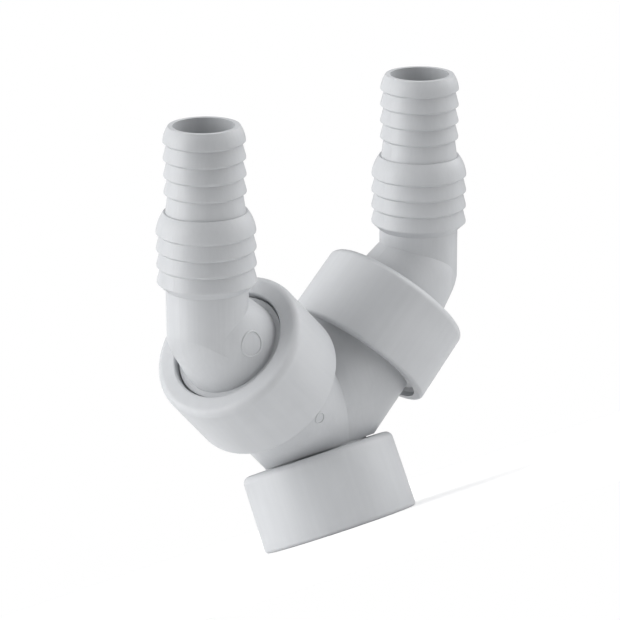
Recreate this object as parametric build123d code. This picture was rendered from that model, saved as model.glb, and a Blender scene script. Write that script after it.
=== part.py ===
"""Hose Y with three G 1 union nuts: a hollow three-barrel body, a swivel nut on its leg, and a
barbed 45 degree elbow held on each arm by a nut. Millimetres, +Z up the leg into the body, +X from
the left arm to the right arm, -Y to the front. The origin is the middle of the leg nut's thread."""

from build123d import *

import os
from math import cos, radians, sin, sqrt, tan

# ---- how the three ways of the fitting are set out
arm_half_angle = 45.0  # each arm from the line midway between the arms
arm_lean = 32.0  # plane of the two arms, tipped from the leg towards the front
elbow_bend = 45.0  # nozzle from the arm it sits on
elbow_turn = 8.0  # each elbow, turned on its arm from the plane of the arms
junction_drop = 27.5  # meeting point of the three axes above the leg nut's open face
arm_nut_start = 22.4  # open face of an arm's nut from the meeting point, along the arm

# ---- G 1 pipe thread
thread_major = 33.25  # outside diameter of the thread
thread_depth = 1.48  # height of the thread form
thread_slack = 0.15  # radial play of a nut on the thread
thread_length = 10.2  # threaded end of an arm
thread_lead_in = 1.0  # chamfer at both ends of the thread
running_gap = 0.15  # end play where a nut or an elbow turns against its neighbour

# ---- union nut
nut_diameter = 40.4  # over the smooth skirt, at the open face
nut_length = 20.1
nut_draft = 0.7  # degrees the skirt narrows towards the closed face
nut_end_wall = 3.0
nut_mouth_relief = 1.2  # relief at the open face is wider than the thread, by radius
nut_mouth_depth = 2.6
nut_seat_depth = 5.5  # room past the thread for a gasket and a flange
nut_seat_relief = 0.5  # that room is wider than the thread, by radius
nut_rim_round = 0.9  # outer edge of the open face
nut_shoulder_round = 1.9  # outer edge of the closed face
nut_hole_round = 0.5  # edge of the hole in the closed face
arm_nut_hole = 29.4  # hole in the closed face that the elbow's hub turns in

# ---- body
arm_bore = 24.8
leg_bore = 23.0
leg_neck = 27.0  # diameter of the leg in the hole of its nut
leg_neck_play = 0.3  # radial play of the leg nut on that neck
leg_bead_height = 0.8  # snap bead on the leg, under the end wall of its nut
leg_bead_length = 3.0
body_gap = 0.4  # body's underside above the leg nut

# ---- flat gasket
gasket_thickness = 2.0
gasket_bore = 20.0
gasket_play = 0.35  # radial play of a gasket inside its nut

# ---- elbow
flange_thickness = 2.8
flange_play = 0.35  # radial play of the flange inside the nut
hub_play = 0.5  # radial play of the hub in the nut's hole
hub_recess = 1.5  # hub's face below the nut's closed face
bend_distance = 52.0  # bend from the meeting point, along the arm
socket_radius = 11.2  # radius of the tapered socket at the bend
socket_taper = 8.5  # degrees the socket widens towards the nut
crown_drop = 4.0  # middle of the socket's round crown, short of the bend
heel_round = 16.0  # outside of the bend, seen from its side
heel_stand_off = 0.08  # that round outside the tube, so that the tube runs into it
socket_bore = 19.0

# ---- stepped nozzle, measured from the bend along its own axis
nozzle_length = 50.0
nozzle_bore = 15.0
nozzle_tube = 20.1
large_crest = 24.3
large_first_crest = 11.5
large_pitch = 4.15
large_count = 4
large_tooth = 0.8  # depth of a large barb
shoulder_length = 4.7  # last large crest to the top of the rounded shoulder
shoulder_step = 0.5
small_crest = 20.0
small_pitch = 4.2
small_count = 4
small_tooth = 0.85  # depth of a small barb
small_last_crest = 46.4
tooth_back = 0.8  # length of a barb's steep back
crest_land = 0.3  # narrow land on top of a barb
tip_wall = 1.2  # flat rim round the bore

# ---- places worked out from the sizes above
UP = (Align.CENTER, Align.CENTER, Align.MIN)
DOWN = (Align.CENTER, Align.CENTER, Align.MAX)
lean, half, bend, turn = (radians(a) for a in (arm_lean, arm_half_angle, elbow_bend, elbow_turn))
thread_radius = thread_major / 2
nut_bore_radius = thread_radius + thread_slack
barrel_radius = thread_radius - thread_depth
gasket_radius = nut_bore_radius - gasket_play
nut_thread_end = nut_length - nut_end_wall - nut_seat_depth
flange_top = arm_nut_start + nut_length - nut_end_wall - running_gap
flange_base = flange_top - flange_thickness
arm_length = flange_base - gasket_thickness - running_gap
hub_top = arm_nut_start + nut_length - hub_recess
leg_nut_base = -(nut_mouth_depth + nut_thread_end) / 2
leg_nut_top = leg_nut_base + nut_length
junction_height = leg_nut_base + junction_drop
bead_top = leg_nut_top - nut_end_wall - running_gap
bead_base = bead_top - leg_bead_length


def arm_plane(side):
    """Frame on an arm, z out along it and x towards the bend of its elbow; side is +1 or -1."""
    midway = Vector(0, -sin(lean), cos(lean))
    across = Vector(side, 0, 0)
    front_normal = Vector(0, cos(lean), sin(lean))
    along = midway * cos(half) + across * sin(half)
    inward = midway * sin(half) - across * cos(half)
    towards_bend = inward * cos(turn) + front_normal * sin(turn)
    return Plane(origin=(0, 0, junction_height), x_dir=towards_bend, z_dir=along)


def rod(radius, z0, z1):
    return Pos(0, 0, z0) * Cylinder(radius, z1 - z0, align=UP)


def taper(radius0, radius1, z0, z1):
    return Pos(0, 0, z0) * Cone(radius0, radius1, z1 - z0, align=UP)


def union_nut(hole_radius):
    """Smooth tapered nut with its open face at z = 0 and its closed face up."""
    closed_radius = nut_diameter / 2 - nut_length * tan(radians(nut_draft))
    skirt = taper(nut_diameter / 2, closed_radius, 0, nut_length)
    skirt = fillet(skirt.edges().filter_by(GeomType.CIRCLE).sort_by(Axis.Z)[-1], nut_shoulder_round)
    skirt = fillet(skirt.edges().filter_by(GeomType.CIRCLE).sort_by(Axis.Z)[0], nut_rim_round)
    mouth_radius = nut_bore_radius + nut_mouth_relief
    lead_start = nut_mouth_depth - nut_mouth_relief
    nut = skirt - rod(nut_bore_radius, 0, nut_thread_end)
    nut -= rod(nut_bore_radius + nut_seat_relief, nut_thread_end, nut_length - nut_end_wall)
    nut -= rod(mouth_radius, 0, lead_start)
    nut -= taper(mouth_radius, nut_bore_radius, lead_start, nut_mouth_depth)
    nut -= rod(hole_radius, 0, nut_length)
    lip = nut.edges().filter_by(GeomType.CIRCLE).group_by(Axis.Z)[-1].sort_by(SortBy.RADIUS)[0]
    return fillet(lip, nut_hole_round)


def y_body():
    """Three hollow barrels run together, a thread on each arm and a snap bead on the leg."""
    planes = [arm_plane(side) for side in (-1, 1)]
    shell = Part() + [plane * rod(barrel_radius, 0, arm_length) for plane in planes]
    shell += Pos(0, 0, junction_height) * Sphere(barrel_radius)
    shell -= Pos(0, 0, leg_nut_top + body_gap) * Box(*[8 * nut_diameter] * 3, align=DOWN)
    shell += rod(leg_neck / 2, bead_base, junction_height)
    bead_radius = leg_neck / 2 + leg_neck_play + leg_bead_height
    shell += rod(bead_radius, bead_top - leg_bead_length / 2, bead_top)
    shell += taper(leg_neck / 2, bead_radius, bead_base, bead_top - leg_bead_length / 2)
    for plane in planes:
        thread = rod(thread_radius, arm_length - thread_length, arm_length)
        ends = thread.edges().filter_by(GeomType.CIRCLE)
        shell += plane * chamfer(ends, thread_lead_in)
    shell -= [plane * rod(arm_bore / 2, 0, arm_length) for plane in planes]
    shell -= Pos(0, 0, junction_height) * Sphere(arm_bore / 2)
    shell -= rod(leg_bore / 2, bead_base, junction_height)
    return shell


def gasket():
    return rod(gasket_radius, 0, gasket_thickness) - rod(gasket_bore / 2, 0, gasket_thickness)


def barbs(crest_radius, tooth, pitch, first, count):
    """Outline of a row of barbs: each goes up a steep back, over a narrow land and down a ramp."""
    points = []
    for i in range(count):
        crest = first + i * pitch
        points.append((crest_radius - tooth, 0, crest - tooth_back))
        points.append((crest_radius, 0, crest - crest_land / 2))
        points.append((crest_radius, 0, crest + crest_land / 2))
    return points


def nozzle(start):
    """Stepped hose tail, solid, from below the bend to its tip."""
    large_radius, small_radius, tube_radius = large_crest / 2, small_crest / 2, nozzle_tube / 2
    tube_end = large_first_crest - (large_radius - tube_radius)
    large = barbs(large_radius, large_tooth, large_pitch, large_first_crest, large_count)[1:]
    small_first_crest = small_last_crest - (small_count - 1) * small_pitch
    small = barbs(small_radius, small_tooth, small_pitch, small_first_crest, small_count)
    shoulder_top = large[-1][2] + shoulder_length
    throat_radius = small_radius - small_tooth / 3
    shoulder = (throat_radius + shoulder_step, 0, shoulder_top)
    throat = (throat_radius, 0, shoulder_top)
    tip = (nozzle_bore / 2 + tip_wall, 0, nozzle_length)
    outline = [
        Polyline((0, 0, start), (tube_radius, 0, start), (tube_radius, 0, tube_end), *large),
        TangentArc(large[-1], shoulder, tangent=(-0.12, 0, 1)),
        Polyline(shoulder, throat, *small),
        TangentArc(small[-1], tip, tangent=(-0.12, 0, 1)),
        Polyline(tip, (0, 0, nozzle_length), (0, 0, start)),
    ]
    return revolve(make_face([edge for line in outline for edge in line.edges()]), Axis.Z, 360)


def capped_cone(base_radius, cap_radius, centre_radius, centre_height):
    """Solid of revolution on the hub: the socket's taper, closed by an arc tangent to it."""
    slope = radians(socket_taper)
    edge = Vector(centre_radius + cap_radius * cos(slope), 0, centre_height + cap_radius * sin(slope))
    apex = Vector(0, 0, centre_height + sqrt(cap_radius**2 - centre_radius**2))
    sides = Polyline(apex, (0, 0, hub_top), (base_radius, 0, hub_top), edge)
    cap = TangentArc(edge, apex, tangent=(-sin(slope), 0, cos(slope)))
    return revolve(make_face(sides.edges() + cap.edges()), Axis.Z, 360)


def elbow():
    """Flanged hub, tapered socket with a round crown, bend and stepped nozzle, hollow throughout.
    The hub's axis is z and the nozzle bends away towards +x."""
    tube_radius = nozzle_tube / 2
    slope = radians(socket_taper)
    centre = Vector(0, 0, bend_distance)
    nozzle_way = Vector(sin(bend), 0, cos(bend))
    inside_way = Vector(cos(bend), 0, -sin(bend))
    nozzle_frame = Plane(origin=centre, x_dir=inside_way, z_dir=nozzle_way)
    base_radius = socket_radius + (bend_distance - hub_top) * tan(slope)
    crown_radius = (socket_radius + crown_drop * tan(slope)) * cos(slope)
    socket = capped_cone(base_radius, crown_radius, 0, bend_distance - crown_drop)

    # the tube runs down into the socket, its heel trimmed by an arc from the tube to the taper
    heel_radius = tube_radius + heel_stand_off
    fall = (socket_radius - heel_radius * (cos(bend) + tan(slope) * sin(bend))) / (
        sin(bend) - tan(slope) * cos(bend)
    )
    heel_end = heel_round * tan((bend - slope) / 2) - fall
    heel_centre = centre + nozzle_way * heel_end + inside_way * (heel_round - heel_radius)
    hood = capped_cone(base_radius, heel_round, -heel_centre.X, heel_centre.Z)
    foot = nozzle_frame * rod(tube_radius, -1.5 * tube_radius, heel_end) & hood
    shape = socket + foot + nozzle_frame * nozzle(heel_end)

    # hub, flange and the bore through
    hub_radius = arm_nut_hole / 2 - hub_play
    flange_radius = nut_bore_radius - flange_play
    shape += rod(hub_radius, flange_base, hub_top) + rod(flange_radius, flange_base, flange_top)
    bore_radius = nozzle_bore / 2
    overlap = bore_radius / 3
    shape -= taper(socket_bore / 2, bore_radius, flange_base, bend_distance + overlap)
    shape -= nozzle_frame * rod(bore_radius, -overlap, nozzle_length)
    return shape


# ---- the pieces in place
arm_nut = union_nut(arm_nut_hole / 2)
leg_nut = union_nut(leg_neck / 2 + leg_neck_play)
elbow_piece = elbow()
seal = gasket()
nodes = {
    "y_body": y_body(),
    "inlet_nut": Pos(0, 0, leg_nut_base) * leg_nut,
    "inlet_gasket": Pos(0, 0, bead_base - running_gap - gasket_thickness) * seal,
}
for name, side in {"left": -1, "right": 1}.items():
    arm = arm_plane(side)
    nodes[f"{name}_gasket"] = arm * Pos(0, 0, arm_length) * seal
    nodes[f"{name}_elbow"] = arm * elbow_piece
    nodes[f"{name}_nut"] = arm * Pos(0, 0, arm_nut_start) * arm_nut

os.makedirs("parts", exist_ok=True)
for name, shape in nodes.items():
    export_step(shape, f"parts/{name}.step")
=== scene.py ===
from math import cos, pi, radians, sin

import bmesh
import bpy
from mathutils import Matrix, Vector
from mathutils.bvhtree import BVHTree


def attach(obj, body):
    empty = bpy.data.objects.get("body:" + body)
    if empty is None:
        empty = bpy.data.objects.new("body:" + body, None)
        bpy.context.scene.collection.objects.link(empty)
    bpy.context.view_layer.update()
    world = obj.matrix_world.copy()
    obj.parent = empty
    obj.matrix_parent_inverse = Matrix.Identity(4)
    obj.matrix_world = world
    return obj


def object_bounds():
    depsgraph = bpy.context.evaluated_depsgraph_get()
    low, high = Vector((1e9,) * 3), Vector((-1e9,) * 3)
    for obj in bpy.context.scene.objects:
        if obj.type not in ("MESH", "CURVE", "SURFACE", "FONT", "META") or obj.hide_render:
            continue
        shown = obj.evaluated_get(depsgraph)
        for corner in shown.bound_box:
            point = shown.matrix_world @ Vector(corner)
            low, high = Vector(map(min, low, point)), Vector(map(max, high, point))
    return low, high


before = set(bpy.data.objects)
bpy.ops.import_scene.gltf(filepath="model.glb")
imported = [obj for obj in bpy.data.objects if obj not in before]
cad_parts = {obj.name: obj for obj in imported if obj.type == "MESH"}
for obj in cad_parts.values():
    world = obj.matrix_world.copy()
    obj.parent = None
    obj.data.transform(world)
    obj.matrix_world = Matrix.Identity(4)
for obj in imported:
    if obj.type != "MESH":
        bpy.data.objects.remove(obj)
cad_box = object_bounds()
scene = bpy.context.scene
mm = 0.001

# ---- Camera
# A long lens about 0.8 m away, level with the body and tipped to one side, so that the
# leg slants on the picture and both nozzles stand upright.
junction = Vector((0, 0, 20.4)) * mm  # where the three barrels' axes meet
camera_forward = Vector((0.66196, 0.74883, 0.03249)).normalized()
camera_right = camera_forward.cross(Vector((0.21505, -0.23127, 0.94882))).normalized()
camera_up = camera_right.cross(camera_forward)
camera_data = bpy.data.cameras.new("camera")
camera_data.sensor_width = 36
camera_data.lens = 183.7
camera_data.clip_start = 0.01
camera = bpy.data.objects.new("camera", camera_data)
scene.collection.objects.link(camera)
facing = Matrix((camera_right, camera_up, -camera_forward)).transposed().to_4x4()
camera_place = junction + Vector((-527.58, -612.01, 1.76)) * mm
camera.matrix_world = Matrix.Translation(camera_place) @ facing
scene.camera = camera
scene.view_settings.view_transform = "Standard"


# ---- Studio lamps and backdrop
# Large soft boxes hang round the fitting: the strongest to its left and high at its right
# shoulder, and a weak one under the table. The backdrop is white paper a long way behind.
softbox_side = 0.9
softbox_distance = 1


def softbox(name, right, up, front, power):
    """Square lamp facing the barrels' meeting point, placed by the camera's directions."""
    data = bpy.data.lights.new(name, "AREA")
    data.shape = "SQUARE"
    data.size = softbox_side
    data.energy = power
    lamp = bpy.data.objects.new(name, data)
    way = (camera_right * right + camera_up * up - camera_forward * front).normalized()
    lamp.location = junction + way * softbox_distance
    lamp.rotation_euler = (-way).to_track_quat("-Z", "Y").to_euler()
    scene.collection.objects.link(lamp)


softbox("left_softbox", -1, 0, 0.2, 8.8)
softbox("left_front_softbox", -1, 0.6, 0.6, 3.9)
softbox("left_high_softbox", -0.7, 0.9, -0.2, 2.6)
softbox("left_rear_softbox", -0.8, 0.2, -0.8, 2.0)
softbox("right_front_softbox", 1, 0.6, 0.6, 2.8)
softbox("right_rear_softbox", 0.9, 0.2, -0.3, 2.0)
softbox("right_high_softbox", 0.7, 0.9, -0.2, 6.9)
softbox("overhead_softbox", 0, 1, 0.1, 2.3)
softbox("under_table_softbox", 0, -1, 0.15, 1.6)

room_light = 0.15
world = bpy.data.worlds.new("studio")
world.use_nodes = True
scene.world = world
tree = world.node_tree
tree.nodes.clear()
room = tree.nodes.new("ShaderNodeBackground")
room.inputs["Color"].default_value = (1, 1, 1, 1)
room.inputs["Strength"].default_value = room_light
paper = tree.nodes.new("ShaderNodeBackground")
paper.inputs["Color"].default_value = (1, 1, 1, 1)
paper.inputs["Strength"].default_value = 1
rays = tree.nodes.new("ShaderNodeLightPath")
either = tree.nodes.new("ShaderNodeMixShader")
sky = tree.nodes.new("ShaderNodeOutputWorld")
tree.links.new(rays.outputs["Is Camera Ray"], either.inputs["Fac"])
tree.links.new(room.outputs["Background"], either.inputs[1])
tree.links.new(paper.outputs["Background"], either.inputs[2])
tree.links.new(either.outputs["Shader"], sky.inputs["Surface"])


# ---- Table
# A round matt table top that the leg nut's open face stands on.
# It glows a little for the camera, so that it joins the white paper and still keeps a shadow.
# It is clear from below and doesn't stop the lamps' light, so that the nut's mouth can be seen.
table_radius = 0.22
table_sides = 128
table_glow = 0.22
table_mesh = bpy.data.meshes.new("table")
table_form = bmesh.new()
bmesh.ops.create_circle(
    table_form,
    cap_ends=True,
    segments=table_sides,
    radius=table_radius,
    matrix=Matrix.Translation((0, 0, cad_box[0][2])),
)
table_form.to_mesh(table_mesh)
table_form.free()
table = bpy.data.objects.new("table", table_mesh)
scene.collection.objects.link(table)
table_look = bpy.data.materials.new("matt_table_top")
table_look.use_nodes = True
tree = table_look.node_tree
shader = tree.nodes["Principled BSDF"]
shader.inputs["Base Color"].default_value = (0.8, 0.8, 0.8, 1)
shader.inputs["Roughness"].default_value = 0.9
shader.inputs["Emission Color"].default_value = (1, 1, 1, 1)
rays = tree.nodes.new("ShaderNodeLightPath")
glow = tree.nodes.new("ShaderNodeMath")
glow.operation = "MULTIPLY"
glow.inputs[1].default_value = table_glow
tree.links.new(rays.outputs["Is Camera Ray"], glow.inputs[0])
tree.links.new(glow.outputs["Value"], shader.inputs["Emission Strength"])
sides = tree.nodes.new("ShaderNodeNewGeometry")
passing = tree.nodes.new("ShaderNodeMath")
passing.operation = "MAXIMUM"
clear = tree.nodes.new("ShaderNodeBsdfTransparent")
either = tree.nodes.new("ShaderNodeMixShader")
tree.links.new(sides.outputs["Backfacing"], passing.inputs[0])
tree.links.new(rays.outputs["Is Shadow Ray"], passing.inputs[1])
tree.links.new(passing.outputs["Value"], either.inputs["Fac"])
tree.links.new(shader.outputs["BSDF"], either.inputs[1])
tree.links.new(clear.outputs["BSDF"], either.inputs[2])
tree.links.new(either.outputs["Shader"], tree.nodes["Material Output"].inputs["Surface"])
table_mesh.materials.append(table_look)


# ---- Fitting body
# A hollow three-way barrel, moulded in one shot of grey polypropylene over sliding cores.
# The cores draw the resin out along each barrel, which leaves fine flow lines in a satin skin.
lean = radians(32)  # of the arms' plane, to the front of the leg
half_angle = radians(45)  # from an arm to the middle between both
elbow_turn = radians(8)  # of an elbow about its arm, out of the arms' plane
body_flow_lines = 1100  # to the metre, across the flow
clouds_scale = 70  # to the metre
grain_scale = 3600  # to the metre
stretch_along_flow = 0.035  # share of the lines' number that is left along the flow
parting_half_width = 0.16 * mm
parting_crest_half_width = 0.04 * mm


def arm_place(side):
    """Frame on an arm from the barrels' meeting point: z out along it, x to its elbow's bend."""
    midway = Vector((0, -sin(lean), cos(lean)))
    across = Vector((side, 0, 0))
    off_plane = Vector((0, cos(lean), sin(lean)))
    along = midway * cos(half_angle) + across * sin(half_angle)
    inward = midway * sin(half_angle) - across * cos(half_angle)
    bend = inward * cos(elbow_turn) + off_plane * sin(elbow_turn)
    turned = Matrix((bend, along.cross(bend), along)).transposed()
    return Matrix.Translation(junction) @ turned.to_4x4()


def add_node(tree, kind, inputs=(), **settings):
    """New node: each input takes a value or a link, each setting is a property of the node."""
    made = tree.nodes.new(kind)
    for key, value in settings.items():
        setattr(made, key, value)
    for key, value in dict(inputs).items():
        if hasattr(value, "links"):
            tree.links.new(value, made.inputs[key])
        else:
            made.inputs[key].default_value = value
    return made


def satin_polypropylene(name, place, dark, pale, flow_lines, rough, parting=None):
    """Moulded grey skin: cloudy colour, flow lines along the piece's z axis, a fine
    spark-eroded grain, and the mould's parting line on the plane y = parting."""
    look = bpy.data.materials.new(name)
    look.use_nodes = True
    tree = look.node_tree
    shader = tree.nodes["Principled BSDF"]
    shader.inputs["IOR"].default_value = 1.49
    where = add_node(tree, "ShaderNodeTexCoord").outputs["Object"]
    local = add_node(
        tree,
        "ShaderNodeMapping",
        {"Vector": where, "Location": place.translation, "Rotation": place.to_euler()},
        vector_type="TEXTURE",
    ).outputs["Vector"]
    drawn = add_node(
        tree, "ShaderNodeMapping", {"Vector": local, "Scale": (1, 1, stretch_along_flow)}
    ).outputs["Vector"]
    clouds = add_node(
        tree,
        "ShaderNodeTexNoise",
        {
            "Vector": where,
            "Scale": clouds_scale,
            "Detail": 3,
            "Roughness": 0.55,
            "Distortion": 0.6,
        },
    ).outputs["Fac"]
    flow = add_node(
        tree,
        "ShaderNodeTexNoise",
        {"Vector": drawn, "Scale": flow_lines, "Detail": 2, "Roughness": 0.6},
    ).outputs["Fac"]
    grain = add_node(
        tree,
        "ShaderNodeTexNoise",
        {"Vector": where, "Scale": grain_scale, "Detail": 2, "Roughness": 0.65},
    ).outputs["Fac"]
    tone = add_node(
        tree, "ShaderNodeMix", {0: 0.35, 2: clouds, 3: flow}, data_type="FLOAT"
    ).outputs[0]
    spread = add_node(
        tree,
        "ShaderNodeMapRange",
        {"Value": tone, "From Min": 0.32, "From Max": 0.68},
        interpolation_type="SMOOTHSTEP",
    ).outputs["Result"]
    colour = add_node(
        tree, "ShaderNodeMix", {0: spread, 6: (*dark, 1), 7: (*pale, 1)}, data_type="RGBA"
    ).outputs[2]
    gloss = add_node(
        tree,
        "ShaderNodeMapRange",
        {"Value": clouds, "From Min": 0.3, "From Max": 0.7, "To Min": rough, "To Max": rough + 0.1},
    ).outputs["Result"]
    lines = add_node(
        tree, "ShaderNodeBump", {"Height": flow, "Strength": 0.3, "Distance": 0.03 * mm}
    ).outputs["Normal"]
    skin = add_node(
        tree,
        "ShaderNodeBump",
        {"Height": grain, "Strength": 0.35, "Distance": 0.02 * mm, "Normal": lines},
    ).outputs["Normal"]
    if parting is not None:
        across = add_node(tree, "ShaderNodeSeparateXYZ", {"Vector": local}).outputs["Y"]
        offset = add_node(
            tree, "ShaderNodeMath", {0: across, 1: parting}, operation="SUBTRACT"
        ).outputs["Value"]
        gap = add_node(tree, "ShaderNodeMath", {0: offset}, operation="ABSOLUTE").outputs["Value"]
        ridge = add_node(
            tree,
            "ShaderNodeMapRange",
            {
                "Value": gap,
                "From Min": parting_crest_half_width,
                "From Max": parting_half_width,
                "To Min": 1,
                "To Max": 0,
            },
            interpolation_type="SMOOTHSTEP",
        ).outputs["Result"]
        skin = add_node(
            tree,
            "ShaderNodeBump",
            {"Height": ridge, "Strength": 0.6, "Distance": 0.05 * mm, "Normal": skin},
        ).outputs["Normal"]
    tree.links.new(colour, shader.inputs["Base Color"])
    tree.links.new(gloss, shader.inputs["Roughness"])
    tree.links.new(skin, shader.inputs["Normal"])
    return look


def dress(node, look):
    """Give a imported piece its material, in place of the plain one that it comes with."""
    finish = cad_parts[node].data.materials
    finish.clear()
    finish.append(look)


grey_dark = (0.468, 0.479, 0.495)
grey_pale = (0.500, 0.511, 0.527)
body_look = satin_polypropylene(
    "body_polypropylene",
    Matrix.Translation(junction),
    grey_dark,
    grey_pale,
    body_flow_lines,
    rough=0.40,
)
dress("y_body", body_look)


# ---- Thread of the arms
# G 1 pipe thread, 11 turns to the inch, moulded on each arm's end under its union nut.
# Its first turn runs out of the barrel just inside the nut's mouth, where it can be seen.
pitch = 25.4 / 11 * mm
thread_height = 1.48 * mm
thread_sink = 0.12 * mm  # of the ridge's foot, into the wall that it stands on
thread_base_width = 0.8 * pitch
thread_crest_width = 0.2 * pitch
turn_steps = 72
crisp_edge_angle = radians(25)  # edges sharper than this stay crisp
arm_end_radius = 15.145 * mm
arm_thread_start = 23.45 * mm
arm_thread_turns = 1.15
arm_thread_run_out = 0.12  # share of the ridge's length, at each end


def ridge_tree():
    """Geometry nodes for one helical ridge of thread form, running out thin at both ends."""
    tree = bpy.data.node_groups.new("helical_ridge", "GeometryNodeTree")
    sockets = {}
    for name, kind in (
        ("Wall Radius", "NodeSocketFloat"),
        ("Height", "NodeSocketFloat"),
        ("Base Width", "NodeSocketFloat"),
        ("Crest Width", "NodeSocketFloat"),
        ("Length", "NodeSocketFloat"),
        ("Turns", "NodeSocketFloat"),
        ("Steps", "NodeSocketInt"),
        ("Facing", "NodeSocketFloat"),
        ("Run Out", "NodeSocketFloat"),
        ("Material", "NodeSocketMaterial"),
    ):
        socket = tree.interface.new_socket(name, in_out="INPUT", socket_type=kind)
        sockets[name] = socket.identifier
    tree.interface.new_socket("Ridge", in_out="OUTPUT", socket_type="NodeSocketGeometry")
    given = tree.nodes.new("NodeGroupInput").outputs
    helix = add_node(
        tree,
        "GeometryNodeCurveSpiral",
        {
            "Resolution": given["Steps"],
            "Rotations": given["Turns"],
            "Start Radius": given["Wall Radius"],
            "End Radius": given["Wall Radius"],
            "Height": given["Length"],
            "Reverse": True,
        },
    ).outputs["Curve"]
    upright = add_node(
        tree, "GeometryNodeSetCurveNormal", {"Curve": helix}, mode="Z_UP"
    ).outputs["Curve"]
    form = add_node(
        tree,
        "GeometryNodeCurvePrimitiveQuadrilateral",
        {
            "Height": given["Height"],
            "Bottom Width": given["Base Width"],
            "Top Width": given["Crest Width"],
            "Offset": 0.0,
        },
        mode="TRAPEZOID",
    ).outputs["Curve"]
    half_height = add_node(
        tree, "ShaderNodeMath", {0: given["Height"], 1: 0.5}, operation="MULTIPLY"
    ).outputs["Value"]
    lift = add_node(tree, "ShaderNodeCombineXYZ", {"Y": half_height}).outputs["Vector"]
    raised = add_node(
        tree, "GeometryNodeTransform", {"Geometry": form, "Translation": lift}
    ).outputs["Geometry"]
    angle = add_node(
        tree, "ShaderNodeMath", {0: given["Facing"], 1: -pi / 2}, operation="MULTIPLY"
    ).outputs["Value"]
    spun = add_node(tree, "ShaderNodeCombineXYZ", {"Z": angle}).outputs["Vector"]
    section = add_node(
        tree, "GeometryNodeTransform", {"Geometry": raised, "Rotation": spun}
    ).outputs["Geometry"]
    share = add_node(tree, "GeometryNodeSplineParameter").outputs["Factor"]
    rest = add_node(tree, "ShaderNodeMath", {0: 1.0, 1: share}, operation="SUBTRACT")
    nearer = add_node(
        tree, "ShaderNodeMath", {0: share, 1: rest.outputs["Value"]}, operation="MINIMUM"
    ).outputs["Value"]
    fade = add_node(
        tree,
        "ShaderNodeMapRange",
        {"Value": nearer, "From Max": given["Run Out"], "To Min": 0.1, "To Max": 1.0},
    ).outputs["Result"]
    swept = add_node(
        tree,
        "GeometryNodeCurveToMesh",
        {"Curve": upright, "Profile Curve": section, "Scale": fade, "Fill Caps": True},
    ).outputs["Mesh"]
    solid = add_node(tree, "GeometryNodeRealizeInstances", {"Geometry": swept})
    dressed = add_node(
        tree,
        "GeometryNodeSetMaterial",
        {"Geometry": solid.outputs["Geometry"], "Material": given["Material"]},
    )
    ridge = tree.nodes.new("NodeGroupOutput")
    tree.links.new(dressed.outputs["Geometry"], ridge.inputs["Ridge"])
    return tree, sockets


helical_ridge, ridge_inputs = ridge_tree()


def thread_ridge(name, place, start, wall, facing, turns, run_out, look):
    """Ridge of thread on a wall of that radius, facing +1 outwards or -1 into a nut."""
    host = bpy.data.objects.new(name + "_host", bpy.data.meshes.new(name + "_host"))
    scene.collection.objects.link(host)
    grown = host.modifiers.new("ridge", "NODES")
    grown.node_group = helical_ridge
    for key, value in {
        "Wall Radius": wall - facing * thread_sink,
        "Height": thread_height + thread_sink,
        "Base Width": thread_base_width,
        "Crest Width": thread_crest_width,
        "Length": turns * pitch,
        "Turns": turns,
        "Steps": turn_steps,
        "Facing": float(facing),
        "Run Out": run_out,
        "Material": look,
    }.items():
        grown[ridge_inputs[key]] = value
    depsgraph = bpy.context.evaluated_depsgraph_get()
    mesh = bpy.data.meshes.new_from_object(host.evaluated_get(depsgraph))
    bpy.data.objects.remove(host)
    mesh.name = name
    mesh.transform(place @ Matrix.Translation((0, 0, start)))
    form = bmesh.new()
    form.from_mesh(mesh)
    bmesh.ops.recalc_face_normals(form, faces=form.faces)
    for edge in form.edges:
        edge.smooth = edge.calc_face_angle(0) < crisp_edge_angle
    for face in form.faces:
        face.smooth = True
    form.to_mesh(mesh)
    form.free()
    piece = bpy.data.objects.new(name, mesh)
    scene.collection.objects.link(piece)
    return piece


for side_name, side in (("left", -1), ("right", 1)):
    arm_thread = thread_ridge(
        f"{side_name}_arm_thread",
        arm_place(side),
        arm_thread_start,
        arm_end_radius,
        facing=1,
        turns=arm_thread_turns,
        run_out=arm_thread_run_out,
        look=body_look,
    )
    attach(arm_thread, "fitting")


# ---- Mould marks
# Round steel inserts in the mould leave a thin raised ring on each elbow's socket, and a
# smaller ring on the left barrel of the body. They are moulded with the piece that they are on.
ring_steps = 64
ring_section = (  # across and rise, as shares of the ring's width and height
    (-0.5, -0.6),
    (-0.34, 0.7),
    (0, 1.0),
    (0.34, 0.7),
    (0.5, -0.6),
)
clear_of_skin = 30  # mm from a barrel's axis, which is outside of every piece


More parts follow.
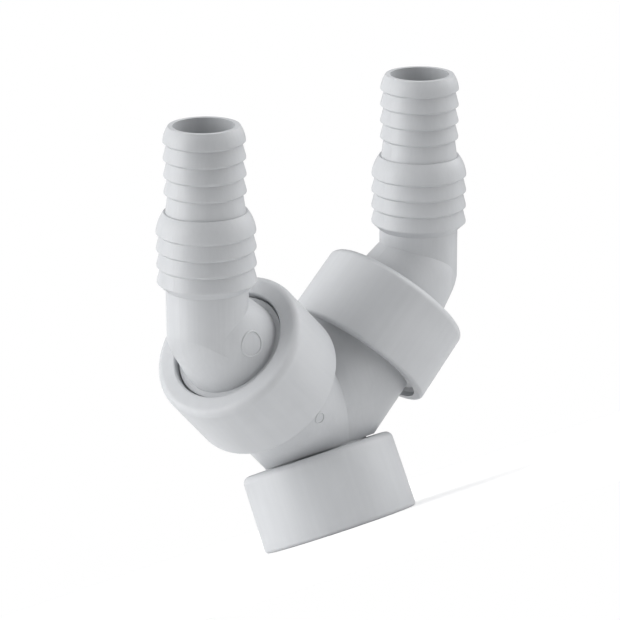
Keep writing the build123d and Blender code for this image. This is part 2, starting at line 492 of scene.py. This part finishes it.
def mould_ring(name, node, place, along, angle, radius, width, height, look):
    """Raised ring laid on a piece's skin, round the point at that height and angle on its arm."""
    skin = bmesh.new()
    skin.from_mesh(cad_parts[node].data)
    bmesh.ops.remove_doubles(skin, verts=skin.verts, dist=1e-6)
    reach = BVHTree.FromBMesh(skin)
    turned = place.to_3x3()
    out = turned @ Vector((cos(angle), sin(angle), 0))
    side_way = turned @ Vector((-sin(angle), cos(angle), 0))
    up_way = turned @ Vector((0, 0, 1))
    outside = place @ Vector((0, 0, along)) + out * clear_of_skin * mm
    form = bmesh.new()
    hoops = []
    for step in range(ring_steps):
        turn = 2 * pi * step / ring_steps
        way = side_way * cos(turn) + up_way * sin(turn)
        hoop = []
        for across, rise in ring_section:
            start = outside + way * (radius + across * width)
            hit = reach.ray_cast(start, -out)[0]
            hoop.append(form.verts.new(hit + out * rise * height))
        hoops.append(hoop)
    count = len(ring_section)
    for step in range(ring_steps):
        here, there = hoops[step], hoops[(step + 1) % ring_steps]
        for i in range(count):
            j = (i + 1) % count
            form.faces.new((here[i], here[j], there[j], there[i])).smooth = True
    bmesh.ops.recalc_face_normals(form, faces=form.faces)
    skin.free()
    mesh = bpy.data.meshes.new(name)
    form.to_mesh(mesh)
    form.free()
    mesh.materials.append(look)
    piece = bpy.data.objects.new(name, mesh)
    scene.collection.objects.link(piece)
    return piece


body_ring = mould_ring(
    "body_mould_ring",
    "y_body",
    arm_place(-1),
    along=15.4 * mm,
    angle=radians(-99),
    radius=1.4 * mm,
    width=0.45 * mm,
    height=0.22 * mm,
    look=body_look,
)
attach(body_ring, "fitting")


# ---- Elbows
# Each is one hollow moulding of grey polypropylene: flange, hub, tapered socket and stepped
# barbed tail. The two mould halves meet on the plane of its bend and leave a fine line there.
elbow_flow_lines = 1500
bend_distance = 52 * mm  # from the barrels' meeting point, along an arm
bend_angle = radians(45)
for side_name, side in (("left", -1), ("right", 1)):
    place = arm_place(side)
    elbow_look = satin_polypropylene(
        f"{side_name}_elbow_polypropylene",
        place
        @ Matrix.Translation((0, 0, bend_distance))
        @ Matrix.Rotation(bend_angle, 4, "Y"),
        grey_dark,
        grey_pale,
        elbow_flow_lines,
        rough=0.38,
        parting=0.0,
    )
    dress(f"{side_name}_elbow", elbow_look)
    elbow_ring = mould_ring(
        f"{side_name}_elbow_mould_ring",
        f"{side_name}_elbow",
        place,
        along=47.8 * mm,
        angle=radians(-91.6),
        radius=3.1 * mm,
        width=0.6 * mm,
        height=0.26 * mm,
        look=elbow_look,
    )
    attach(elbow_ring, f"{side_name}_elbow")


# ---- Arm union nuts
# Smooth nuts of grey polypropylene with a satin skirt, screwed on the arms by hand.
# They hold the elbows' flanges down on the flat gaskets.
nut_flow_lines = 520
nut_roughness = 0.42
for side_name, side in (("left", -1), ("right", 1)):
    dress(
        f"{side_name}_nut",
        satin_polypropylene(
            f"{side_name}_nut_polypropylene",
            arm_place(side),
            grey_dark,
            grey_pale,
            nut_flow_lines,
            nut_roughness,
        ),
    )


# ---- Leg union nut
# The swivel nut on the leg, of the same moulding as the arm nuts but for its snap-on hole.
# Its G 1 thread is open to the outside, for a pump's or a tap's spigot.
nut_bore_radius = 16.775 * mm
leg_thread_start = -4.1 * mm
leg_thread_turns = 3.4
leg_thread_run_out = 0.06
leg_nut_look = satin_polypropylene(
    "inlet_nut_polypropylene",
    Matrix.Identity(4),
    grey_dark,
    grey_pale,
    nut_flow_lines,
    nut_roughness,
)
dress("inlet_nut", leg_nut_look)
inlet_thread = thread_ridge(
    "inlet_nut_thread",
    Matrix.Identity(4),
    leg_thread_start,
    nut_bore_radius,
    facing=-1,
    turns=leg_thread_turns,
    run_out=leg_thread_run_out,
    look=leg_nut_look,
)
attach(inlet_thread, "inlet_nut")


# ---- Flat gaskets
# Rings stamped from black rubber sheet, one in each nut. The sheet has a fine calendered
# grain and a bloom of pale dust.
gasket_look = bpy.data.materials.new("black_rubber_sheet")
gasket_look.use_nodes = True
tree = gasket_look.node_tree
shader = tree.nodes["Principled BSDF"]
where = add_node(tree, "ShaderNodeTexCoord").outputs["Object"]
bloom = add_node(
    tree, "ShaderNodeTexNoise", {"Vector": where, "Scale": 260, "Detail": 4, "Roughness": 0.6}
).outputs["Fac"]
sheet_grain = add_node(
    tree, "ShaderNodeTexNoise", {"Vector": where, "Scale": 5200, "Detail": 2}
).outputs["Fac"]
dusty = add_node(
    tree,
    "ShaderNodeMix",
    {0: bloom, 6: (0.014, 0.014, 0.015, 1), 7: (0.036, 0.036, 0.037, 1)},
    data_type="RGBA",
).outputs[2]
dull = add_node(
    tree, "ShaderNodeMapRange", {"Value": bloom, "To Min": 0.58, "To Max": 0.82}
).outputs["Result"]
pores = add_node(
    tree, "ShaderNodeBump", {"Height": sheet_grain, "Strength": 0.5, "Distance": 0.03 * mm}
).outputs["Normal"]
tree.links.new(dusty, shader.inputs["Base Color"])
tree.links.new(dull, shader.inputs["Roughness"])
tree.links.new(pores, shader.inputs["Normal"])
for gasket in ("inlet_gasket", "left_gasket", "right_gasket"):
    dress(gasket, gasket_look)
